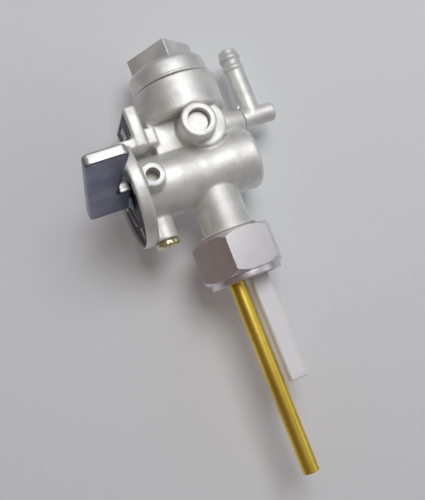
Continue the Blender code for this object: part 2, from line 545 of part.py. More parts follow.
def retaining_screw(screw_finish, washer_finish):
    """Cheese-head screw whose tip runs in the plug's track, on its washer."""
    seat = SCREW_BOSS_HEIGHT + WASHER_THICKNESS
    top = seat + SCREW_HEAD_HEIGHT
    r = CAST_EDGE
    tip = PLUG_BODY_RADIUS - SCREW_RADIUS + GAP
    profile = [(0, tip), (SCREW_RADIUS, tip), (SCREW_RADIUS, seat), (SCREW_HEAD_RADIUS, seat),
               (SCREW_HEAD_RADIUS, top - r), (SCREW_HEAD_RADIUS - r, top), (0, top)]
    place = (SCREW_PLACE, 0, BARREL_Z)
    screw = turned("retaining_screw", profile, MEDIUM, place=place, finish=screw_finish)
    cut(screw, box("screw_slot", (-SCREW_SLOT / 2, -2 * SCREW_HEAD_RADIUS, top - SCREW_SLOT),
                   (SCREW_SLOT / 2, 2 * SCREW_HEAD_RADIUS, top + OVER), place=place))
    turned("screw_washer", [(SCREW_RADIUS + GAP, SCREW_BOSS_HEIGHT), (WASHER_RADIUS, SCREW_BOSS_HEIGHT),
                            (WASHER_RADIUS, seat), (SCREW_RADIUS + GAP, seat)],
           MEDIUM, place=place, finish=washer_finish)


def filter_bowl(finish, seal_finish):
    """Screwed bowl with rim, seal groove, rounded shoulder and a square for the spanner."""
    inner = CUP_BORE_RADIUS - GAP
    groove = CUP_BORE_RADIUS + BOWL_SEAL_SECTION
    half, depth = BOWL_SEAL_SECTION + GAP, 2 * BOWL_SEAL_SECTION + GAP - (RIM_STANDOFF - GAP)
    e, s = FINE_EDGE, BOWL_SHOULDER
    rim_low = BOWL_TOP - RIM_HEIGHT
    floor = SHOULDER_END + BOWL_WALL
    inside = [(BOWL_HOLLOW, BOWL_TOP + BOWL_THREAD), (BOWL_HOLLOW, floor), (0, floor)]
    outside = [(0, SHOULDER_END)] + arc((BOWL_RADIUS - s, SHOULDER_END + s), s, -90, 0, 5)
    outside += [(BOWL_RADIUS, rim_low), (RIM_RADIUS - e, rim_low), (RIM_RADIUS, rim_low + e),
                (RIM_RADIUS, BOWL_TOP - e), (RIM_RADIUS - e, BOWL_TOP), (groove + half, BOWL_TOP),
                (groove + half, BOWL_TOP - depth), (inner, BOWL_TOP - depth), (inner, BOWL_TOP + BOWL_THREAD)]
    bowl = turned("filter_bowl", outside + inside, LARGE, finish=finish)
    square = box("square_form", (-HEAD_FLATS / 2, -HEAD_FLATS / 2, SHOULDER_END - SQUARE_HEIGHT),
                 (HEAD_FLATS / 2, HEAD_FLATS / 2, SHOULDER_END + BOWL_WALL / 2), FINE_EDGE)
    square.rotation_euler.z = math.radians(HEAD_TURN)
    add(bowl, square)
    section = ring_profile(groove, CUP_RIM - GAP - BOWL_SEAL_SECTION, BOWL_SEAL_SECTION)
    turned("bowl_seal", section, LARGE, finish=seal_finish)


def bowl_screen(frame_finish, mesh_finish):
    """Small strainer cage inside the bowl, with its gauze."""
    outer = BOWL_HOLLOW - GAP
    inner = outer - SCREEN_WALL
    top, bottom = CUP_INSIDE - GAP, SHOULDER_END + BOWL_WALL + GAP
    rings = [[(inner, low), (outer, low), (outer, low + SCREEN_RING), (inner, low + SCREEN_RING)]
             for low in (top - SCREEN_RING, bottom)]
    frame = turned("bowl_screen_frame", rings[0], MEDIUM, finish=frame_finish)
    add(frame, turned("screen_lower_ring", rings[1], MEDIUM))
    for step in range(SCREEN_POSTS):
        post = box(f"screen_post_{step}", (inner + GAP / 2, -SCREEN_WALL / 2, bottom + GAP),
                   (outer - GAP / 2, SCREEN_WALL / 2, top - GAP))
        post.rotation_euler.z = math.radians(360 * step / SCREEN_POSTS)
        add(frame, post)
    sleeve = inner - GAP
    core = sleeve - MESH_WALL
    turned("bowl_screen_mesh", [(core, bottom), (sleeve, bottom), (sleeve, top), (core, top)], MEDIUM,
           finish=mesh_finish)


def outlet_elbow(finish):
    """Closed pipe with a spigot into the casting and a barbed nipple for the hose."""
    spigot = OUTLET_BORE + SPIGOT_WALL
    joint, e = -OUTLET_JOINT - GAP, OUTLET_ROUND
    profile = [(0, -OUTLET_END)] + arc((OUTLET_RADIUS - e, e - OUTLET_END), e, -90, 0, 3)
    profile += [(OUTLET_RADIUS, joint), (spigot, joint), (spigot, joint + SPIGOT_LENGTH),
                (0, joint + SPIGOT_LENGTH)]
    elbow = turned("outlet_elbow", profile, MEDIUM, "X", place=(0, 0, OUTLET_Z), finish=finish)
    place = (-NIPPLE_PLACE, 0, BARREL_Z)
    tip, start = -NIPPLE_TIP, -OUTLET_DROP
    outline = [(0, tip), (NIPPLE_RADIUS - 2 * GAP, tip), (NIPPLE_RADIUS - GAP, tip + GAP)]
    for barb in range(BARBS):
        low = tip + BARB_START + BARB_LENGTH * barb
        outline += [(NIPPLE_RADIUS, low + 0.3 * BARB_LENGTH), (BARB_RADIUS, low + 0.55 * BARB_LENGTH),
                    (BARB_RADIUS, low + 0.7 * BARB_LENGTH), (NIPPLE_RADIUS, low + 0.9 * BARB_LENGTH)]
    outline += [(NIPPLE_RADIUS, start), (0, start)]
    foot = OUTLET_Z - OUTLET_BOSS_RADIUS - 2 * GAP
    reach = NIPPLE_RADIUS + GUSSET_LENGTH - NIPPLE_PLACE
    corners = [(-NIPPLE_PLACE, foot), (reach, foot), (-NIPPLE_PLACE, foot - 3 * GUSSET_LENGTH)]
    gusset = prism("elbow_gusset", corners, -GUSSET_THICKNESS / 2, GUSSET_THICKNESS / 2, "XZ")
    add(elbow, turned("nipple_form", outline, MEDIUM, place=place), gusset)
    cut(elbow, rod("nipple_bore", OUTLET_BORE, tip - OVER, start + OUTLET_BORE / 2, place=place),
        rod("elbow_bore", OUTLET_BORE + GAP / 2, -NIPPLE_PLACE, joint + SPIGOT_LENGTH + OVER, axis="X",
            place=(0, 0, OUTLET_Z)))


def main():
    clear_scene()
    cast = material("cast_zinc", (0.62, 0.61, 0.58), 0.45, 0.6)
    machined = material("machined_aluminium", (0.60, 0.58, 0.60), 0.3, 0.9)
    brass = material("brass", (0.72, 0.50, 0.12), 0.28, 1.0)
    nylon = material("white_nylon", (0.80, 0.79, 0.76), 0.45, 0.0)
    gauze = material("nylon_gauze", (0.70, 0.69, 0.66), 0.7, 0.0)
    satin = material("satin_lever_metal", (0.42, 0.43, 0.50), 0.3, 0.8)
    rubber = material("black_rubber", (0.03, 0.03, 0.03), 0.6, 0.0)
    fibre = material("red_fibre", (0.30, 0.07, 0.04), 0.8, 0.0)
    spring = material("spring_steel", (0.45, 0.45, 0.46), 0.3, 1.0)
    yellow_zinc = material("yellow_zinc", (0.70, 0.58, 0.32), 0.3, 1.0)
    dark_plate = material("dark_plate", (0.03, 0.03, 0.05), 0.25, 0.5)
    body = body_forms(cast)
    body_bores(body)
    passage_disc(cast)
    dial_plates(dark_plate)
    union_nut(machined)
    tank_gasket(fibre)
    standpipe(brass)
    strainer(nylon, gauze)
    valve(nylon, spring, rubber)
    lever(satin)
    retaining_screw(yellow_zinc, spring)
    filter_bowl(cast, rubber)
    bowl_screen(nylon, gauze)
    outlet_elbow(cast)


main()
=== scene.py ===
import math

import bmesh
import bpy
from mathutils import Matrix, Vector


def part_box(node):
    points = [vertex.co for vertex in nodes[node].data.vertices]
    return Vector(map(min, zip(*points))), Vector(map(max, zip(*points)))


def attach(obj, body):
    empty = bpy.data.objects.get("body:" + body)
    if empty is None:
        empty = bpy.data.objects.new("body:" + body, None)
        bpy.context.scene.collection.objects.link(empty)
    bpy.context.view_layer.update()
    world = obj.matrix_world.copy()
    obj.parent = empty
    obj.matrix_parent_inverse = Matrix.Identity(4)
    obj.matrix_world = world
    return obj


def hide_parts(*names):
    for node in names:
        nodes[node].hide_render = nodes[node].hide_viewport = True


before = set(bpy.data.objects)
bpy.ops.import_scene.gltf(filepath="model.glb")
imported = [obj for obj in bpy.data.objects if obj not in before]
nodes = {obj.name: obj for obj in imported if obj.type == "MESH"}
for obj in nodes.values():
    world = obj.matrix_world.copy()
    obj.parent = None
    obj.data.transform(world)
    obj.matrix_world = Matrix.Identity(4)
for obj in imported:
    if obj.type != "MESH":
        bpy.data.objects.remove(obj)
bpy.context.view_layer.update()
mm = 0.001
gap, over = 0.3, 1.0     # clearance between pieces, and how far a cutter passes the face that it opens
touching = 1e-4     # points closer than this are one
bevelSteps = 4
sharpAngle = 32.0     # degrees; an edge that turns more than this stays crisp
sideX = Matrix.Rotation(math.radians(90), 4, "Y")     # turns a form made along Z so that it lies along X
towardsViewer = Matrix.Rotation(math.radians(90), 4, "X")     # and this one makes it point to -Y
print("frame loaded:", len(nodes), "nodes")


# Shader helpers: Value is a socket that takes part in sums, Finish is one material

class Value:
    def __init__(self, finish, socket):
        self.finish, self.socket = finish, socket

    def maths(self, kind, first, second):
        return self.finish.node("Math", {"operation": kind}, {0: first, 1: second})

    def __add__(self, other):
        return self.maths("ADD", self, other)

    def __radd__(self, other):
        return self.maths("ADD", other, self)

    def __sub__(self, other):
        return self.maths("SUBTRACT", self, other)

    def __rsub__(self, other):
        return self.maths("SUBTRACT", other, self)

    def __mul__(self, other):
        return self.maths("MULTIPLY", self, other)

    def __rmul__(self, other):
        return self.maths("MULTIPLY", other, self)

    def either(self, other):     # 1 where one of two masks is 1
        return self.maths("MAXIMUM", self, other)

    def above(self, low, high):     # 0 below low, 1 above high, smooth between
        return self.finish.node("MapRange", {"interpolation_type": "SMOOTHSTEP"},
                                {"Value": self, "From Min": low, "From Max": high})


class Finish:
    def __init__(self, name, world=None, **fixed):
        self.material = world or bpy.data.materials.new(name)
        self.material.use_nodes = True
        self.tree = self.material.node_tree
        self.shader = self.tree.nodes.get("Principled BSDF")
        for socket, value in fixed.items():
            self.shader.inputs[socket.replace("_", " ")].default_value = value

    def feed(self, socket, value):
        if isinstance(value, Value):
            self.tree.links.new(value.socket, socket)
        else:
            socket.default_value = value

    def node(self, kind, settings=None, sockets=None, output=0):
        made = self.tree.nodes.new("ShaderNode" + kind)
        for key, value in (settings or {}).items():
            if key == "stops":
                while len(made.color_ramp.elements) < len(value):
                    made.color_ramp.elements.new(0.5)
                for element, (place, colour) in zip(made.color_ramp.elements, value):
                    element.position, element.color = place, (*colour, 1)
            else:
                setattr(made, key, value)
        for key, value in (sockets or {}).items():
            self.feed(made.inputs[key], value)
        return Value(self, made.outputs[output])

    def place(self, stretch=(1, 1, 1)):     # a point of the object in millimetres, squeezed along some axes
        point = self.node("TexCoord", output="Object")
        scale = [1 / mm * part for part in stretch]
        return self.node("VectorMath", {"operation": "MULTIPLY"}, {0: point, 1: scale})

    def noise(self, size, detail=2.0, stretch=(1, 1, 1)):     # size in millimetres
        sockets = {"Vector": self.place(stretch), "Scale": 1 / size, "Detail": detail}
        return self.node("TexNoise", None, sockets)

    def mix(self, amount, first, second):     # a Mix node's colours are its inputs 6 and 7 and its output 2
        first, second = [colour if isinstance(colour, Value) else (*colour, 1) for colour in (first, second)]
        return self.node("Mix", {"data_type": "RGBA"}, {0: amount, 6: first, 7: second}, 2)

    def surface(self, colour, roughness, height=None, depth=0.0, edge=0.0):     # both in millimetres
        self.feed(self.shader.inputs["Base Color"], colour)
        self.feed(self.shader.inputs["Roughness"], roughness)
        normal = self.node("Bevel", {"samples": 6}, {"Radius": edge * mm}) if edge else None
        if height is not None:
            sockets = {"Height": height, "Distance": depth * mm, "Strength": 1.0}
            if normal:
                sockets["Normal"] = normal
            normal = self.node("Bump", None, sockets)
        if normal:
            self.feed(self.shader.inputs["Normal"], normal)
        return self.material


# Mesh helpers: every form is made in millimetres, closed, and joined or cut before it becomes a piece

def formOf(bm, turn=None, place=(0, 0, 0)):
    bmesh.ops.recalc_face_normals(bm, faces=bm.faces)
    mesh = bpy.data.meshes.new("form")
    bm.to_mesh(mesh)
    bm.free()
    mesh.transform(Matrix.Translation(place) @ (turn or Matrix.Identity(4)))
    return mesh


def spun(profile, sides=128, turn=None, place=(0, 0, 0), sweep=360.0, start=0.0):
    bm = bmesh.new()
    verts = [bm.verts.new((radius, 0, along)) for radius, along in profile]
    axial = profile[0][0] == 0 and profile[-1][0] == 0
    ends = verts[1:] if axial else verts[1:] + verts[:1]
    edges = [bm.edges.new(pair) for pair in zip(verts, ends)]
    bmesh.ops.rotate(bm, verts=verts, cent=(0, 0, 0), matrix=Matrix.Rotation(math.radians(start), 3, "Z"))
    bmesh.ops.spin(bm, geom=verts + edges, axis=(0, 0, 1), cent=(0, 0, 0), steps=sides,
                   angle=math.radians(sweep), use_merge=sweep == 360)
    bmesh.ops.remove_doubles(bm, verts=bm.verts, dist=touching)
    if sweep != 360:
        bmesh.ops.holes_fill(bm, edges=bm.edges, sides=0)
    return formOf(bm, turn, place)


def rodForm(radius, start, stop, turn=None, place=(0, 0, 0), sides=96):
    return spun([(0, start), (radius, start), (radius, stop), (0, stop)], sides, turn, place)


def blockForm(low, high, bevel=0.0, turn=None):
    bm = bmesh.new()
    bmesh.ops.create_cube(bm, size=1)
    low, high = Vector(low), Vector(high)
    bmesh.ops.scale(bm, verts=bm.verts, vec=high - low)
    bmesh.ops.translate(bm, verts=bm.verts, vec=(high + low) / 2)
    if bevel:
        bmesh.ops.bevel(bm, geom=bm.edges, offset=bevel, segments=bevelSteps, profile=0.5, affect="EDGES")
    return formOf(bm, turn)


def plateForm(outline, low, high, bevel=0.0, turn=None):
    bm = bmesh.new()
    face = bm.faces.new([bm.verts.new((a, b, low)) for a, b in outline])
    raised = bmesh.ops.extrude_face_region(bm, geom=[face])["geom"]
    bmesh.ops.translate(bm, verts=[v for v in raised if isinstance(v, bmesh.types.BMVert)],
                        vec=(0, 0, high - low))
    bmesh.ops.recalc_face_normals(bm, faces=bm.faces)
    if bevel:
        rims = [edge for edge in bm.edges if abs(edge.verts[0].co.z - edge.verts[1].co.z) < touching]
        bmesh.ops.bevel(bm, geom=rims, offset=bevel, segments=bevelSteps, profile=0.5, affect="EDGES")
    return formOf(bm, turn)


def arc(centre, radius, start, stop, steps=10):
    turns = [math.radians(start + (stop - start) * step / steps) for step in range(steps + 1)]
    return [(centre[0] + radius * math.cos(turn), centre[1] + radius * math.sin(turn)) for turn in turns]


def roundedOutline(width, depth, corner, centre=(0, 0)):
    x, y = width / 2 - corner, depth / 2 - corner
    spots = ((x, y, 0), (-x, y, 90), (-x, -y, 180), (x, -y, 270))
    return [point for a, b, turn in spots
            for point in arc((centre[0] + a, centre[1] + b), corner, turn, turn + 90, 6)]


# Rise, crest and fall of the thread are shares of its pitch
thread = {"pitch": 1.0, "depth": 0.45, "rise": 0.35, "crest": 0.5, "fall": 0.85}


def threadTurns(root, crest, start, turns):     # one ridge for each turn, with a flat root and crest
    steps = ((root, 0.0), (crest, thread["rise"]), (crest, thread["crest"]), (root, thread["fall"]))
    return [(radius, start + turn * thread["pitch"] + share * thread["pitch"])
            for turn in range(turns) for radius, share in steps]


def settled(piece):     # what the modifiers make becomes the piece's own mesh
    bpy.context.view_layer.update()
    graph = bpy.context.evaluated_depsgraph_get()
    mesh = bpy.data.meshes.new_from_object(piece.evaluated_get(graph))
    piece.modifiers.clear()
    piece.data = mesh
    return piece


def pieceOf(name, *forms):     # one object that holds all the forms
    bm = bmesh.new()
    for form in forms:
        bm.from_mesh(form)
    mesh = bpy.data.meshes.new(name)
    bm.to_mesh(mesh)
    bm.free()
    piece = bpy.data.objects.new(name, mesh)
    bpy.context.scene.collection.objects.link(piece)
    return piece


def castSkin(piece, voxel, rounds):     # forms that overlap become one casting with rounded joints
    skin = piece.modifiers.new("skin", "REMESH")
    skin.mode, skin.voxel_size = "VOXEL", voxel
    soften = piece.modifiers.new("soften", "SMOOTH")
    soften.factor, soften.iterations = 0.5, rounds
    return settled(piece)


def worked(piece, operation, *forms):     # union, cut or common part with each form in turn
    for form in forms:
        tool = pieceOf("tool", form)
        step = piece.modifiers.new("step", "BOOLEAN")
        step.operation, step.solver, step.object = operation, "MANIFOLD", tool
        settled(piece)
        bpy.data.objects.remove(tool)


def fitted(piece, finish, body, stands=(), sharp=sharpAngle):     # in metres, smooth, on its body
    piece.data.transform(Matrix.Scale(mm, 4))
    piece.data.shade_smooth()
    piece.data.set_sharp_from_angle(angle=math.radians(sharp))
    piece.data.materials.clear()
    piece.data.materials.append(finishes[finish])
    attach(piece, body)
    if stands:
        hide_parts(*stands)
    print("piece", piece.name, len(piece.data.polygons), "faces")


# Camera, as the photograph was taken: the tap lies on its back and is seen from above

view = {"place": (59.15, -195.09, 12.44), "turn": (95.094, -158.565, 13.179), "lens": 49.73, "sensor": 36,
        "clip": (0.005, 10)}
camera = bpy.data.cameras.new("camera")
camera.lens, camera.sensor_width, camera.sensor_fit = view["lens"], view["sensor"], "AUTO"
camera.clip_start, camera.clip_end = view["clip"]
cameraObject = bpy.data.objects.new("camera", camera)
cameraObject.location = [mm * along for along in view["place"]]
cameraObject.rotation_euler = [math.radians(turn) for turn in view["turn"]]
bpy.context.scene.collection.objects.link(cameraObject)
bpy.context.scene.camera = cameraObject
bpy.context.scene.view_settings.view_transform = "Standard"
print("camera placed")


# Finishes: the first figures of a noise are its size in millimetres and its detail

# The casting's hollow colour is painted shade with some grime in the hollows, and also the colour of real
# pits
casting = {"light": (0.86, 0.855, 0.83), "dark": (0.67, 0.67, 0.66), "hollow": (0.42, 0.41, 0.33),
           "rubbed": (0.90, 0.89, 0.87), "shadeGrimeAndWear": 0.7, "metallic": 0.7, "roughness": 0.54, "grain": 0.22,
           "depth": 0.055, "edge": 0.35}


def castZinc(name="castZinc", shadeGrimeAndWear=casting["shadeGrimeAndWear"]):     # painted shade and grime in the hollows, worn bright edges
    made = Finish(name, Metallic=casting["metallic"])
    clouds = made.noise(7.0, 4)
    grain = made.noise(casting["grain"], 2)
    lumps = made.noise(1.6, 3)
    pits = made.noise(0.55, 2).above(0.66, 0.74)
    shape = made.node("NewGeometry", output="Pointiness")
    worn, hollow = shape.above(0.505, 0.54), 1.0 - shape.above(0.44, 0.495)
    colour = made.mix(clouds.above(0.35, 0.68), casting["light"], casting["dark"])
    colour = made.mix(grain.above(0.42, 0.72) * 0.35, colour, casting["dark"])
    # Painted shade with some grime: the hollows darken where shade falls
    colour = made.mix(hollow * shadeGrimeAndWear, colour, casting["hollow"])
    colour = made.mix(pits * 0.35, colour, casting["hollow"])
    colour = made.mix(worn * (0.8 * shadeGrimeAndWear), colour, casting["rubbed"])
    rough = casting["roughness"] + (clouds - 0.5) * 0.16 + (grain - 0.5) * 0.2
    return made.surface(colour, rough, grain * 0.7 + lumps * 1.2, casting["depth"], casting["edge"])


def turnedZinc():     # turned parts of the same alloy, with no painted shade or grime in the hollows and no worn edges
    return castZinc("turnedZinc", 0.0)


nutMetal = {"light": (0.80, 0.775, 0.82), "dark": (0.71, 0.68, 0.70), "speck": (0.95, 0.93, 0.92),
            "roughness": 0.34, "depth": 0.003, "edge": 0.3}


def machinedAluminium():
    made = Finish("machinedAluminium", Metallic=1.0)
    stain = made.noise(5.0, 4)
    lines = made.noise(0.25, 2, (0.12, 0.12, 1.0))
    specks = made.noise(0.4, 1).above(0.72, 0.76)
    colour = made.mix(stain.above(0.3, 0.7), nutMetal["light"], nutMetal["dark"])
    colour = made.mix(specks * 0.4, colour, nutMetal["speck"])
    rough = nutMetal["roughness"] + (stain - 0.5) * 0.1 + (lines - 0.5) * 0.06
    return made.surface(colour, rough, lines, nutMetal["depth"], nutMetal["edge"])


tube = {"light": (0.90, 0.67, 0.12), "dark": (0.66, 0.44, 0.06), "speck": (0.16, 0.10, 0.03),
        "roughness": 0.36, "depth": 0.003, "edge": 0.1}


def drawnBrass():
    made = Finish("drawnBrass", Metallic=1.0)
    tarnish = made.noise(6.0, 4, (1, 1, 0.35))
    draw = made.noise(0.16, 2, (1, 1, 0.03))
    specks = made.noise(0.9, 2).above(0.70, 0.76)
    colour = made.mix(tarnish.above(0.4, 0.75), tube["light"], tube["dark"])
    colour = made.mix(specks * 0.8, colour, tube["speck"])
    rough = tube["roughness"] + (tarnish - 0.5) * 0.12 + specks * 0.3 + (draw - 0.5) * 0.06
    return made.surface(colour, rough, draw, tube["depth"], tube["edge"])


nylon = {"light": (0.90, 0.885, 0.925), "dark": (0.82, 0.80, 0.85), "index": 1.53, "roughness": 0.36,
         "depth": 0.01}


def milkyNylon():
    made = Finish("milkyNylon", IOR=nylon["index"])
    clouds = made.noise(3.5, 3, (1, 1, 0.3))
    flow = made.noise(0.5, 2, (1, 1, 0.08))
    colour = made.mix(clouds.above(0.3, 0.7), nylon["light"], nylon["dark"])
    return made.surface(colour, nylon["roughness"] + (clouds - 0.5) * 0.2, flow, nylon["depth"])


gauze = {"between": (0.80, 0.785, 0.825), "thread": (0.88, 0.865, 0.905), "weft": 0.9, "warp": 1.8,
         "roughness": 0.55, "depth": 0.02}


def nylonGauze():
    made = Finish("nylonGauze", IOR=nylon["index"])
    level, across = made.place(), made.place((1, 1, 0))
    weft = made.node("TexWave", {"bands_direction": "Z"}, {"Vector": level, "Scale": gauze["weft"]})
    warp = made.node("TexWave", {"bands_direction": "DIAGONAL"}, {"Vector": across, "Scale": gauze["warp"]})
    woven = weft.either(warp)
    colour = made.mix(woven, gauze["between"], gauze["thread"])
    return made.surface(colour, gauze["roughness"] - woven * 0.1, woven, gauze["depth"])


# The lever's sizes come before its finish, whose colour paints shade and light from place to place on it
lever = {"turn": 76.4, "length": 28.9, "tail": 3.4, "inner": 24.9, "outer": 36.8, "neck": 28.0,
         "thickness": 3.5, "round": 1.6, "edge": 0.6, "tongue": 8.2, "tongueInner": 24.2, "hub": 4.0,
         "plug": 5.0, "plugStart": -8.9, "shoulder": 10.25, "sealPlace": 13.0, "seal": 1.05,
         "sealFloor": 4.8, "track": 1.4, "trackTip": 1.7, "voxel": 0.27, "rounds": 3}
# The blade's blue-grey is painted shade and reflection, the tip colours paint a lit end face, the plug
# colour is painted shade
blade = {"light": (0.27, 0.285, 0.36), "dark": (0.19, 0.205, 0.30), "speck": (0.60, 0.60, 0.64),
         "litTipLight": (0.84, 0.82, 0.79), "litTipDark": (0.72, 0.71, 0.70), "plug": (0.02, 0.02, 0.035),
         "metallic": 0.95, "roughness": 0.34, "depth": 0.012, "edge": 0.3}


def satinLever():     # painted shade on the blue-grey blade and dark plug, painted light on the bright end face
    made = Finish("satinLever", Metallic=blade["metallic"])
    clouds = made.noise(8.0, 4)
    grain = made.noise(0.3, 2)
    specks = made.noise(0.9, 2).above(0.69, 0.73)
    leaning = math.radians(-lever["turn"])
    normal = made.node("TexCoord", output="Normal")
    lengthwise = made.node("VectorMath", {"operation": "DOT_PRODUCT"},
                           {0: normal, 1: (0, math.sin(leaning), -math.cos(leaning))}, "Value")
    # The end face, lengthwise on the blade, is painted lit
    litEndFace = lengthwise.above(0.5, 0.85)
    along = made.node("SeparateXYZ", None, {0: made.place()}, "X")
    # The plug's face near the dial is painted black as shade
    shadedPlugFace = 1.0 - along.above(lever["tongueInner"], lever["tongueInner"] + gap)
    colour = made.mix(clouds.above(0.35, 0.7), blade["light"], blade["dark"])
    colour = made.mix(specks * 0.35, colour, blade["speck"])
    colour = made.mix(litEndFace, colour, made.mix(clouds, blade["litTipLight"], blade["litTipDark"]))
    colour = made.mix(shadedPlugFace, colour, blade["plug"])
    rough = blade["roughness"] + (clouds - 0.5) * 0.2 + (grain - 0.5) * 0.1
    return made.surface(colour, rough, grain, blade["depth"], blade["edge"])


screwTints = {"stops": ((0.3, (0.80, 0.62, 0.25)), (0.48, (0.88, 0.80, 0.48)),
                        (0.62, (0.70, 0.72, 0.50)), (0.75, (0.80, 0.55, 0.50))),
              "roughness": 0.2, "depth": 0.01, "edge": 0.15}


def yellowZinc():
    made = Finish("yellowZinc", Metallic=1.0)
    tint = made.noise(1.6, 3)
    colour = made.node("ValToRGB", {"stops": screwTints["stops"]}, {0: tint})
    scratch = made.noise(0.2, 2, (1, 0.1, 1))
    rough = screwTints["roughness"] + (tint - 0.5) * 0.2
    return made.surface(colour, rough, scratch, screwTints["depth"], screwTints["edge"])


# The plates are black, and this colour is darkened further as painted shade of the lever over the dial
plates = {"dark": (0.008, 0.009, 0.022), "light": (0.022, 0.023, 0.05), "chip": (0.4, 0.4, 0.42),
          "shine": 0.25, "roughness": 0.30, "depth": 0.01}


def darkPlate():
    made = Finish("darkPlate", Specular_IOR_Level=plates["shine"])
    clouds = made.noise(4.0, 3)
    chips = made.noise(0.55, 3).above(0.66, 0.70)
    colour = made.mix(clouds, plates["dark"], plates["light"])
    colour = made.mix(chips * 0.5, colour, plates["chip"])
    return made.surface(colour, plates["roughness"] + clouds * 0.2, clouds, plates["depth"])


figures = {"white": (0.95, 0.95, 0.95), "worn": (0.72, 0.72, 0.74), "metallic": 0.2, "roughness": 0.3,
           "depth": 0.01, "edge": 0.08}


def raisedMarks():
    made = Finish("raisedMarks", Metallic=figures["metallic"])
    wear = made.noise(0.6, 3)
    colour = made.mix(wear.above(0.45, 0.7), figures["white"], figures["worn"])
    return made.surface(colour, figures["roughness"] + wear * 0.15, wear, figures["depth"], figures["edge"])


spring = {"bright": (0.55, 0.55, 0.57), "blued": (0.40, 0.38, 0.36), "roughness": 0.25, "depth": 0.006}


def springSteel():
    made = Finish("springSteel", Metallic=1.0)
    blued = made.noise(2.5, 3)
    colour = made.mix(blued, spring["bright"], spring["blued"])
    return made.surface(colour, spring["roughness"] + blued * 0.2, made.noise(0.2, 2), spring["depth"])


rubber = {"fresh": (0.018, 0.018, 0.018), "bloom": (0.06, 0.06, 0.06), "roughness": 0.5, "depth": 0.008}


def blackRubber():
    made = Finish("blackRubber")
    bloom = made.noise(1.8, 3)
    colour = made.mix(bloom.above(0.4, 0.75), rubber["fresh"], rubber["bloom"])
    return made.surface(colour, rubber["roughness"] + bloom * 0.2, made.noise(0.15, 2), rubber["depth"])


fibre = {"light": (0.34, 0.07, 0.04), "dark": (0.20, 0.04, 0.03), "roughness": 0.75, "depth": 0.03}


def redFibre():
    made = Finish("redFibre")
    strands = made.noise(0.5, 4, (1, 1, 3))
    colour = made.mix(strands, fibre["light"], fibre["dark"])
    return made.surface(colour, fibre["roughness"] + strands * 0.15, strands, fibre["depth"])


finishes = {make.__name__: make() for make in (
    castZinc, machinedAluminium, drawnBrass, milkyNylon, nylonGauze, satinLever, yellowZinc, darkPlate,
    raisedMarks, springSteel, blackRubber, redFibre, turnedZinc)}
print("finishes made:", len(finishes))


# The casting: soft outside as cast, then the bores and machined faces cut crisply

cast = {"voxel": 0.34, "rounds": 7, "drop": 27.0, "seat": -1.5, "seatWall": 1.55, "pocket": 1.5,
        "headRadius": 8.6, "headHeight": 6.9, "headRing": 0.7, "headStep": 0.1, "stubRadius": 7.4,
        "barrelRadius": 9.4, "barrelEnd": 15.5, "endRound": 1.6, "edge": 0.5,
        "flangeRadius": 15.8, "flangeInner": 21.0, "flangeOuter": 25.0, "dialRim": 0.6, "dialDepth": 1.4,
        "neckRadius": 7.0, "cupRadius": 13.05, "cupTop": 16.8, "cupHeight": 10.4, "cupBore": 10.6,
        "cupFloor": 2.2}
boss = {"radius": 5.2, "face": 13.9, "drop": 12.1, "recess": 3.3, "recessDepth": 3.2,
        "padRadius": 7.0, "padFace": 8.8, "padShift": 2.4,
        "screwPlace": 18.5, "screwRadius": 3.9, "screwHeight": 15.6, "screwHole": 1.7,
        "sparePlace": 18.2, "spareRadius": 3.6, "spareHeight": 14.0, "spareHole": 1.95, "spareDepth": 3.8,
        "spareLean": 5.0}
tab = {"outer": 19.0, "thickness": 3.8, "width": 21.5, "top": 22.8, "bottom": 10.2, "border": 1.2,
       "recess": 0.5, "round": 0.8, "web": 3.4,
       "blockWidth": 16.0, "blockInner": 11.8, "blockTop": 15.9, "blockHeight": 5.0, "wallWidth": 10.4}
valve = {"bore": 6.9, "boreEnd": 9.5, "pipeRadius": 2.8, "pipeOffset": 3.5, "stemOffset": -3.4, "port": 1.9}
outlet = {"drop": 11.6, "bossRadius": 3.0, "bossRoot": 4.2, "bossLength": 6.0, "columnRadius": 2.8,
          "column": -8.7, "joint": 17.2, "seam": 0.08, "radius": 3.0, "end": 27.6, "round": 0.8, "bore": 1.5,
          "spigot": 2.2, "spigotLength": 5.0, "nipple": 20.7, "nippleRadius": 3.05, "tip": 33.9,
          "tipBevel": 0.3, "barbRadius": 3.4, "barbStart": 0.8, "barbLength": 3.4, "barbs": 2,
          "gusset": 1.3, "gussetWidth": 1.4, "voxel": 0.17, "rounds": 3}
barrelZ = -cast["drop"]
axis = (0, 0, barrelZ)
bossPlace = (0, 0, barrelZ - boss["drop"])
outletPlace = (0, 0, barrelZ - outlet["drop"])


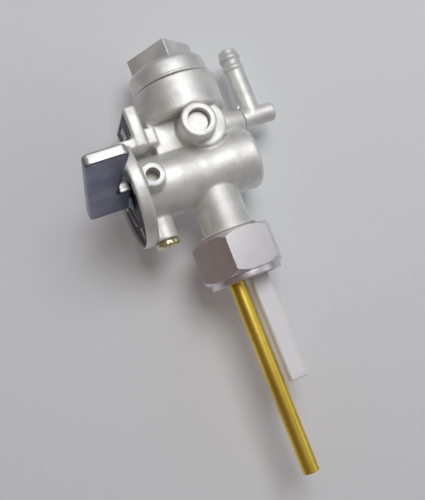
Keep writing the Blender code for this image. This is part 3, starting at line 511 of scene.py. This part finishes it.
def bodyCasting():
    r, e, seat, wide = cast["edge"], cast["endRound"], cast["seat"], cast["headRadius"]
    top = barrelZ - cast["cupTop"]
    rim, roof = top - cast["cupHeight"], top - cast["cupFloor"]
    cup, neck, stub = cast["cupRadius"], cast["neckRadius"], cast["stubRadius"]
    upright = [(0, rim), (cup, rim), (cup, top - r), (cup - r, top), (neck, top), (neck, barrelZ),
               (stub, barrelZ), (stub, seat), (0, seat)]
    flange, near, far = cast["flangeRadius"], cast["flangeInner"], cast["flangeOuter"]
    barrel = [(0, -cast["barrelEnd"])] + arc((cast["barrelRadius"] - e, e - cast["barrelEnd"]), e, -90, 0)
    barrel += [(cast["barrelRadius"], near), (flange - r, near), (flange, near + r), (flange, far - r),
               (flange - r, far), (0, far)]
    inside = cast["barrelRadius"] / 2     # how deep a boss starts in the barrel
    joint, bossRoot = -outlet["joint"], outlet["bossRoot"]
    outletBoss = [(0, joint), (outlet["bossRadius"], joint), (bossRoot, outlet["bossLength"] + joint),
                  (bossRoot, -inside), (0, -inside)]
    lean = Matrix.Rotation(math.radians(boss["spareLean"]), 4, "X") @ towardsViewer
    sparePlace, screwPlace = (boss["sparePlace"], 0, barrelZ), (boss["screwPlace"], 0, barrelZ)
    padPlace = (-boss["padShift"], 0, bossPlace[2])
    dial, half, wall = far - cast["dialDepth"], tab["width"] / 2, tab["wallWidth"] / 2
    middle, foot, tabTop = tab["outer"] - tab["thickness"] / 2, barrelZ - tab["bottom"], barrelZ - tab["top"]
    blockLow, blockHalf = barrelZ - tab["blockTop"], tab["blockWidth"] / 2
    forms = [spun(upright, 160), spun(barrel, 160, sideX, axis),
             rodForm(boss["padRadius"], inside, boss["padFace"], towardsViewer, padPlace),
             rodForm(boss["radius"], inside, boss["face"], towardsViewer, bossPlace),
             rodForm(boss["spareRadius"], inside, boss["spareHeight"], lean, sparePlace),
             rodForm(boss["screwRadius"], inside, boss["screwHeight"], None, screwPlace),
             spun(outletBoss, 96, sideX, outletPlace),
             blockForm((tab["outer"] - tab["thickness"], -half, tabTop), (tab["outer"], half, foot),
                       tab["round"]),
             blockForm((middle, gap - half, foot - tab["web"]), (dial, half - gap, foot - gap)),
             blockForm((tab["blockInner"], -blockHalf, blockLow),
                       (middle, blockHalf, blockLow + tab["blockHeight"])),
             blockForm((0, -wall, top - cast["cupFloor"] / 2),
                       (tab["blockInner"] + over, wall, barrelZ - inside)),
             rodForm(outlet["columnRadius"], roof, outletPlace[2], None, (outlet["column"], 0, 0))]
    piece = castSkin(pieceOf("bodyCasting", *forms), cast["voxel"], cast["rounds"])

    headLow, root = seat - cast["headHeight"], wide - thread["depth"]
    ring, step = headLow + cast["headRing"], cast["headStep"]
    turns = int((cast["headHeight"] - cast["headRing"] - step) / thread["pitch"])
    head = [(0, headLow), (wide, headLow), (wide, ring), (root, ring + step)]
    head += threadTurns(root, wide, ring + 2 * step, turns) + [(root, seat), (0, seat)]
    worked(piece, "UNION", spun(head, 160))

    inset = Vector((0, half - tab["border"], 0))
    plateLow = Vector((tab["outer"] - tab["recess"], 0, tabTop + tab["border"])) - inset
    plateHigh = Vector((tab["outer"] + over, 0, foot - tab["web"] - tab["border"])) + inset
    port, spareFloor = valve["port"], boss["spareHeight"] - boss["spareDepth"]
    cuts = [rodForm(cast["cupBore"], rim - over, roof),
            rodForm(flange - cast["dialRim"], dial, far + over, sideX, axis),
            rodForm(valve["bore"], -valve["boreEnd"], far + over, sideX, axis),
            blockForm(plateLow, plateHigh),
            rodForm(wide - cast["seatWall"], seat - cast["pocket"], seat + over),
            rodForm(valve["pipeRadius"], barrelZ, seat, None, (valve["pipeOffset"], 0, 0), 48),
            rodForm(port, barrelZ, seat, None, (valve["stemOffset"], 0, 0), 48),
            rodForm(port, roof - over, barrelZ, None, (0, 0, 0), 48),
            rodForm(boss["screwHole"], 0, boss["screwHeight"] + over, None, screwPlace, 48),
            rodForm(boss["spareHole"], spareFloor, boss["spareHeight"] + over, lean, sparePlace, 64),
            rodForm(boss["recess"], boss["face"] - boss["recessDepth"], boss["face"] + over, towardsViewer,
                    bossPlace),
            rodForm(port - gap, 0, boss["face"], towardsViewer, bossPlace, 48),
            rodForm(outlet["spigot"] + gap, joint - over, gap + joint + 2 * outlet["spigotLength"], sideX,
                    outletPlace, 64)]
    worked(piece, "DIFFERENCE", *cuts)
    fitted(piece, "castZinc", "tap", ["body"])


def outletCasting():
    joint, e = -outlet["joint"] - outlet["seam"], outlet["round"]
    spigot, spigotEnd = outlet["spigot"], joint + outlet["spigotLength"]
    elbow = [(0, -outlet["end"])] + arc((outlet["radius"] - e, e - outlet["end"]), e, -90, 0)
    elbow += [(outlet["radius"], joint), (spigot, joint), (spigot, spigotEnd), (0, spigotEnd)]
    tip, thin, bevel = -outlet["tip"], outlet["nippleRadius"], outlet["tipBevel"]
    barbRadius, length = outlet["barbRadius"], outlet["barbLength"]
    nipple = [(0, tip), (thin - 2 * bevel, tip), (thin - bevel, tip + bevel)]
    for barb in range(outlet["barbs"]):
        low = tip + outlet["barbStart"] + length * barb
        nipple += [(thin, low + 0.3 * length), (barbRadius, low + 0.55 * length),
                   (barbRadius, low + 0.7 * length), (thin, low + 0.9 * length)]
    nipple += [(thin, -outlet["drop"]), (0, -outlet["drop"])]
    start, gusset, half = -outlet["nipple"], outlet["gusset"], outlet["gussetWidth"] / 2
    place = (start, 0, barrelZ)
    foot = outletPlace[2] - outlet["bossRadius"] - 2 * gap
    corners = [(start, foot), (start + thin + gusset, foot), (start, foot - 3 * gusset)]
    piece = pieceOf("outletCasting", spun(elbow, 96, sideX, outletPlace), spun(nipple, 96, None, place),
                    plateForm(corners, -half, half, 0, towardsViewer))
    castSkin(piece, outlet["voxel"], outlet["rounds"])
    bore = outlet["bore"]
    worked(piece, "DIFFERENCE", rodForm(bore, tip - over, bore / 2 - outlet["drop"], None, place, 64),
           rodForm(bore + gap / 2, start, spigotEnd + over, sideX, outletPlace, 64))
    fitted(piece, "castZinc", "tap", ["outlet_elbow"])


bowl = {"rimRadius": 12.4, "rimHeight": 0.9, "standoff": 0.4, "radius": 11.9, "depth": 6.4, "shoulder": 2.4,
        "wall": 2.9, "plain": 0.6, "thread": 5.5, "lead": 0.4, "flats": 14.4, "turn": 46.0, "square": 5.4,
        "seal": 0.35, "edge": 0.35}


def bowlCasting():
    top = barrelZ - cast["cupTop"] - cast["cupHeight"] - bowl["standoff"]
    end, s, e = top - bowl["depth"], bowl["shoulder"], bowl["edge"]
    groove = cast["cupBore"] + bowl["seal"]
    half, depth = bowl["seal"] + gap, 2 * bowl["seal"] + gap - (bowl["standoff"] - gap)
    hollow, low = bowl["radius"] - bowl["wall"], top - bowl["rimHeight"]
    rim, inner, floor = bowl["rimRadius"], cast["cupBore"] - gap, end + bowl["wall"]
    profile = [(0, end)] + arc((bowl["radius"] - s, end + s), s, -90, 0)
    profile += [(bowl["radius"], low), (rim - e, low)] + arc((rim - e, low + e), e, -90, 0, 4)
    profile += arc((rim - e, top - e), e, 0, 90, 4)
    profile += [(groove + half, top), (groove + half, top - depth), (inner, top - depth)]
    start, turns = top + bowl["plain"], int((bowl["thread"] - bowl["plain"]) / thread["pitch"])
    profile += threadTurns(inner, inner - thread["depth"], start, turns)
    profile += [(inner, start + turns * thread["pitch"]), (inner - bowl["lead"], top + bowl["thread"]),
                (hollow, top + bowl["thread"]), (hollow, floor), (0, floor)]
    piece = pieceOf("bowlCasting", spun(profile, 192))
    flats, turn = bowl["flats"] / 2, Matrix.Rotation(math.radians(bowl["turn"]), 4, "Z")
    squareLow, squareHigh = end - bowl["square"], end + bowl["wall"] / 2
    worked(piece, "UNION", blockForm((-flats, -flats, squareLow), (flats, flats, squareHigh), e, turn))
    fitted(piece, "turnedZinc", "bowl", ["filter_bowl"])


nut = {"flats": 23.0, "height": 12.2, "top": 5.5, "turn": -67.0, "chamfer": 1.3, "slope": 37.0,
       "relief": 0.15, "collar": 10.8, "collarHeight": 1.9, "edge": 0.3, "sharp": 20.0}


def nutHexagon():
    low, high, c = nut["top"] - nut["height"], nut["top"], nut["chamfer"]
    corner = nut["flats"] / 2 / math.cos(math.radians(30))
    face, far = nut["flats"] / 2 - nut["relief"], corner + c
    slope = (far - face) * math.tan(math.radians(nut["slope"]))
    outline = arc((0, 0), corner, nut["turn"], nut["turn"] + 300, 5)
    piece = pieceOf("nutHexagon", plateForm(outline, low, high))
    chamfers = [(0, low - c), (face, low - gap), (far, low + slope), (far, high - slope), (face, high + gap),
                (0, high + c)]
    worked(piece, "INTERSECT", spun(chamfers, 192))
    r, end = nut["edge"], high + nut["collarHeight"]
    collar = [(0, high - over), (nut["collar"], high - over)]
    collar += arc((nut["collar"] - r, end - r), r, 0, 90, 4) + [(0, end)]
    worked(piece, "UNION", spun(collar, 192))
    worked(piece, "DIFFERENCE", rodForm(cast["headRadius"] + gap, low - over, end + over, sides=192))
    fitted(piece, "machinedAluminium", "nut", ["union_nut"], nut["sharp"])


pipe = {"radius": 2.5, "wall": 0.5, "offset": 3.5, "top": 65.3, "start": -10.5}


def brassTube():
    inner, e, top = pipe["radius"] - pipe["wall"], pipe["wall"] / 4, pipe["top"]
    profile = [(inner, pipe["start"]), (pipe["radius"], pipe["start"]), (pipe["radius"], top - e),
               (pipe["radius"] - e, top), (inner + e, top), (inner, top - e)]
    piece = pieceOf("brassTube", spun(profile, 96, place=(pipe["offset"], 0, 0)))
    fitted(piece, "drawnBrass", "tap", ["standpipe"])


stem = {"width": 5.8, "depth": 3.6, "offset": -3.35, "height": 39.7, "wall": 0.7, "rib": 0.9, "foot": 4.0,
        "round": 0.8, "plate": 1.2, "gauze": 0.3, "gauzeRound": 0.1, "sunk": 0.05, "end": 0.7, "reach": 20.0,
        "trim": 0.01}


def strainerStem():
    bottom, x, out, reach = cast["seat"] - stem["plate"], stem["offset"], 2 * stem["wall"], stem["reach"]
    plain = bmesh.new()
    plain.from_mesh(nodes["strainer_frame"].data)
    bmesh.ops.remove_doubles(plain, verts=plain.verts, dist=0.001 * mm)
    piece = pieceOf("strainerStem", formOf(plain, Matrix.Scale(1 / mm, 4)))
    plateOnly = blockForm((-reach, -reach, bottom - over), (reach, reach, cast["seat"] - stem["trim"]))
    worked(piece, "INTERSECT", plateOnly)
    outline = roundedOutline(stem["width"], stem["depth"], stem["round"], (x, 0))
    worked(piece, "UNION", plateForm(outline, bottom + stem["plate"] / 2, stem["height"], stem["end"]))
    hollow = roundedOutline(stem["width"] - out, stem["depth"] - out, stem["round"] / 2, (x, 0))
    low, high, rib = stem["foot"], stem["height"] - 2 * stem["rib"], stem["rib"]
    wide, deep = stem["width"] / 2 - rib, stem["depth"] / 2 - rib
    worked(piece, "DIFFERENCE", plateForm(hollow, bottom - over, stem["height"] - stem["wall"]),
           blockForm((x - wide, -reach, low), (x + wide, reach, high)),
           blockForm((x - reach, -deep, low), (x + reach, deep, high)))
    fitted(piece, "milkyNylon", "tap", ["strainer_frame"])

    inset, top = out + 2 * gap, stem["height"] - stem["wall"] - gap
    width, depth = stem["width"] / 2 - stem["sunk"], stem["depth"] / 2 - stem["sunk"]
    sleeve = roundedOutline(stem["width"] - inset, stem["depth"] - inset, stem["round"] / 3, (x, 0))
    piece = pieceOf("stemGauze", plateForm(sleeve, bottom + gap, top))
    worked(piece, "UNION", blockForm((x - wide, -depth, low), (x + wide, depth, high)),
           blockForm((x - width, -deep, low), (x + width, deep, high)))
    inset += 2 * stem["gauze"]
    core = roundedOutline(stem["width"] - inset, stem["depth"] - inset, stem["gauzeRound"], (x, 0))
    worked(piece, "DIFFERENCE", plateForm(core, bottom - over, top - stem["gauze"]))
    fitted(piece, "nylonGauze", "tap", ["strainer_mesh"])


def leverBlade():
    wide, floor, r = valve["bore"] - gap, lever["sealFloor"], lever["round"]
    end, hubEnd = cast["flangeOuter"] - cast["dialDepth"], lever["tongueInner"] + gap
    sealLow, sealHigh = lever["sealPlace"] - lever["seal"], lever["sealPlace"] + lever["seal"]
    plug, hub, start, shoulder = lever["plug"], lever["hub"], lever["plugStart"], lever["shoulder"]
    profile = [(0, start), (plug, start), (plug, shoulder), (wide, shoulder), (wide, sealLow),
               (floor, sealLow), (floor, sealHigh), (wide, sealHigh), (wide, end), (hub, end), (hub, hubEnd),
               (0, hubEnd)]
    outline = arc((lever["outer"] - r, lever["tail"] - r), r, 90, 0)
    outline += arc((lever["outer"] - r, r - lever["length"]), r, 0, -90)
    outline += arc((lever["inner"] + r, r - lever["length"]), r, -90, -180)
    outline += arc((lever["neck"] - r / 2, -lever["tongue"] - r / 2), r / 2, 0, 90)
    outline += [(lever["tongueInner"], -lever["tongue"]), (lever["tongueInner"], lever["tail"])]
    half = lever["thickness"] / 2
    turn = Matrix.Rotation(-math.radians(lever["turn"]), 4, "X")
    flat = plateForm(outline, -half, half, lever["edge"], turn @ towardsViewer)
    piece = pieceOf("leverBlade", flat, spun(profile, 128, turn @ sideX))
    castSkin(piece, lever["voxel"], lever["rounds"])
    bottom = wide - lever["track"]
    spread = math.degrees(math.asin(lever["trackTip"] / bottom))
    near, far = boss["screwPlace"] - lever["trackTip"], boss["screwPlace"] + lever["trackTip"]
    track = spun([(bottom, near), (wide + over, near), (wide + over, far), (bottom, far)], 96, turn @ sideX,
                 (0, 0, 0), 180 + 2 * spread, 180 - spread)
    worked(piece, "DIFFERENCE", track)
    piece.data.transform(Matrix.Translation(axis))
    fitted(piece, "satinLever", "lever", ["lever"])


marks = {"raised": 0.35, "bold": 0.032, "tab": ("12", 4.6), "dial": (("0", 180), ("1", 90), ("2", 0)),
         "height": 4.4, "radius": 11.0, "arc": (9.2, 9.45), "arcFrom": 95, "arcSweep": 55}


def numeral(name, text, height, place):     # plain raised figures that read from the lever's side
    curve = bpy.data.curves.new(name, "FONT")
    curve.body, curve.size = text, height
    curve.extrude, curve.offset = marks["raised"], marks["bold"] * height
    curve.align_x, curve.align_y = "CENTER", "CENTER"
    written = bpy.data.objects.new(name + "Curve", curve)
    bpy.context.scene.collection.objects.link(written)
    bpy.context.view_layer.update()
    mesh = bpy.data.meshes.new_from_object(written.evaluated_get(bpy.context.evaluated_depsgraph_get()))
    bpy.data.objects.remove(written)
    mesh.transform(Matrix.Translation(place) @ Matrix(((0, 0, 1), (1, 0, 0), (0, 1, 0))).to_4x4())
    fitted(pieceOf(name, mesh), "raisedMarks", "tap")


def plateMarks():
    tabLow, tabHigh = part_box("tab_plate")
    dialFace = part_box("dial_plate")[1].x / mm
    middle = (tabLow + tabHigh) / 2 / mm
    numeral("tabMarks", marks["tab"][0], marks["tab"][1], (tabHigh.x / mm, middle.y, middle.z))
    for text, angle in marks["dial"]:
        across, up = math.cos(math.radians(angle)), math.sin(math.radians(angle))
        numeral("dialMark" + text, text, marks["height"],
                (dialFace, marks["radius"] * across, barrelZ + marks["radius"] * up))
    (low, high), face = marks["arc"], dialFace + marks["raised"]
    ring = spun([(low, dialFace), (high, dialFace), (high, face), (low, face)], 24, sideX, axis,
                marks["arcSweep"], marks["arcFrom"])
    fitted(pieceOf("dialArc", ring), "raisedMarks", "tap")


for make in (bodyCasting, outletCasting, bowlCasting, nutHexagon, brassTube, strainerStem, leverBlade,
             plateMarks):
    make()


# CAD nodes whose shape is right keep it and get their finish

carried = {"passage_disc": "turnedZinc", "dial_plate": "darkPlate", "tab_plate": "darkPlate",
           "tank_gasket": "redFibre", "valve_sleeve": "milkyNylon", "wave_washer": "springSteel",
           "plug_seal": "blackRubber", "retaining_screw": "yellowZinc", "screw_washer": "springSteel",
           "bowl_seal": "blackRubber", "bowl_screen_frame": "milkyNylon", "bowl_screen_mesh": "nylonGauze"}
for name, finish in carried.items():
    nodes[name].data.materials.clear()
    nodes[name].data.materials.append(finishes[finish])
    nodes[name].data.shade_smooth()
    nodes[name].data.set_sharp_from_angle(angle=math.radians(sharpAngle))
print("carried nodes finished:", len(carried))


# Stage, in metres: the pale table that the tap lies on, which fades into the backdrop, and the light

stage = {"leansTo": (0.13, -1.0, 0.03), "middle": (0, 0, 0.010), "size": 0.6, "corner": 0.05,
         "thickness": 0.001, "fadeFrom": 0.16, "fadeTo": 0.27, "table": (0.78, 0.79, 0.82), "shade": 0.97,
         "roughness": 0.8, "backdrop": (0.90, 0.91, 0.94)}
lamps = {"key": {"towards": (-0.15, -1.0, -0.40), "distance": 0.6, "size": 0.36, "power": 1.7,
                 "colour": (1, 1, 1)},
         "fill": {"towards": (-0.9, -0.6, 0.25), "distance": 0.7, "size": 0.4, "power": 0.30,
                  "colour": (0.94, 0.96, 1.0)},
         "back": {"towards": (0.1, 1.0, 0.2), "distance": 0.7, "size": 0.5, "power": 1.0,
                  "colour": (1, 1, 1)}}
room = {"aim": (0, 0, 0.005), "low": (0.10, 0.11, 0.15), "high": (0.30, 0.30, 0.295),
        "warm": (0.17, 0.12, 0.09), "warmSide": (0.8, -0.4, 0.4)}


def tableTop():
    up = Vector(stage["leansTo"]).normalized()
    shown = [piece for piece in bpy.data.objects if piece.type == "MESH" and not piece.hide_render]
    low = min((piece.matrix_world @ vert.co).dot(up) for piece in shown for vert in piece.data.vertices)
    card = roundedOutline(stage["size"], stage["size"], stage["corner"])
    piece = pieceOf("tableTop", plateForm(card, -stage["thickness"], 0.0))
    middle = Vector(stage["middle"])
    place = Matrix.Translation(middle + up * (low - middle.dot(up)))
    piece.matrix_world = place @ up.to_track_quat("Z", "Y").to_matrix().to_4x4()
    made = Finish("tableCard")
    shade = [stage["shade"] * part for part in stage["table"]]
    made.surface(made.mix(made.noise(3.0, 3), stage["table"], shade), stage["roughness"])
    point, normal = [made.node("TexCoord", output=kind) for kind in ("Object", "Normal")]
    away = made.node("VectorMath", {"operation": "LENGTH"}, {0: point}, "Value")
    away = away.above(stage["fadeFrom"], stage["fadeTo"])
    upper = made.node("SeparateXYZ", None, {0: normal}, "Z").above(-0.5, 0.5)
    behind = made.node("NewGeometry", output="Backfacing").either(1.0 - upper)
    hidden = away.either(behind.either(made.node("LightPath", output="Is Shadow Ray")))
    shaders = {0: hidden, 1: Value(made, made.shader.outputs["BSDF"]), 2: made.node("BsdfTransparent")}
    made.feed(made.tree.nodes["Material Output"].inputs["Surface"], made.node("MixShader", None, shaders))
    piece.data.materials.append(made.material)


def lamp(name, towards, distance, size, power, colour):
    light = bpy.data.lights.new(name, "AREA")
    light.shape, light.size, light.energy, light.color = "DISK", size, power, colour
    made = bpy.data.objects.new(name, light)
    towards = Vector(towards).normalized()
    made.location = Vector(room["aim"]) + towards * distance
    made.rotation_euler = towards.to_track_quat("Z", "Y").to_euler()
    bpy.context.scene.collection.objects.link(made)


def studioLight():     # behind the picture and below the table, the room shows the pale backdrop
    for name, settings in lamps.items():
        lamp(name, **settings)
    world = bpy.data.worlds.new("studio")
    bpy.context.scene.world = world
    made = Finish("studio", world)

    def facing(direction):
        seen = made.node("TexCoord", output="Generated")
        return made.node("VectorMath", {"operation": "DOT_PRODUCT"},
                         {0: seen, 1: Vector(direction).normalized()}, "Value")

    up = facing(stage["leansTo"])
    light = made.mix(up.above(-0.4, 0.9), room["low"], room["high"])
    light = made.mix(facing(room["warmSide"]).above(0.45, 0.9), light, room["warm"])
    camera, glossy, through = [made.node("LightPath", output=f"Is {kind} Ray")
                               for kind in ("Camera", "Glossy", "Transmission")]
    below = (1.0 - up.above(-0.45, -0.1)) * glossy.either(through)
    colour = made.mix(camera.either(below), light, stage["backdrop"])
    made.feed(made.tree.nodes["Background"].inputs["Color"], colour)


tableTop()
studioLight()
print("stage set")
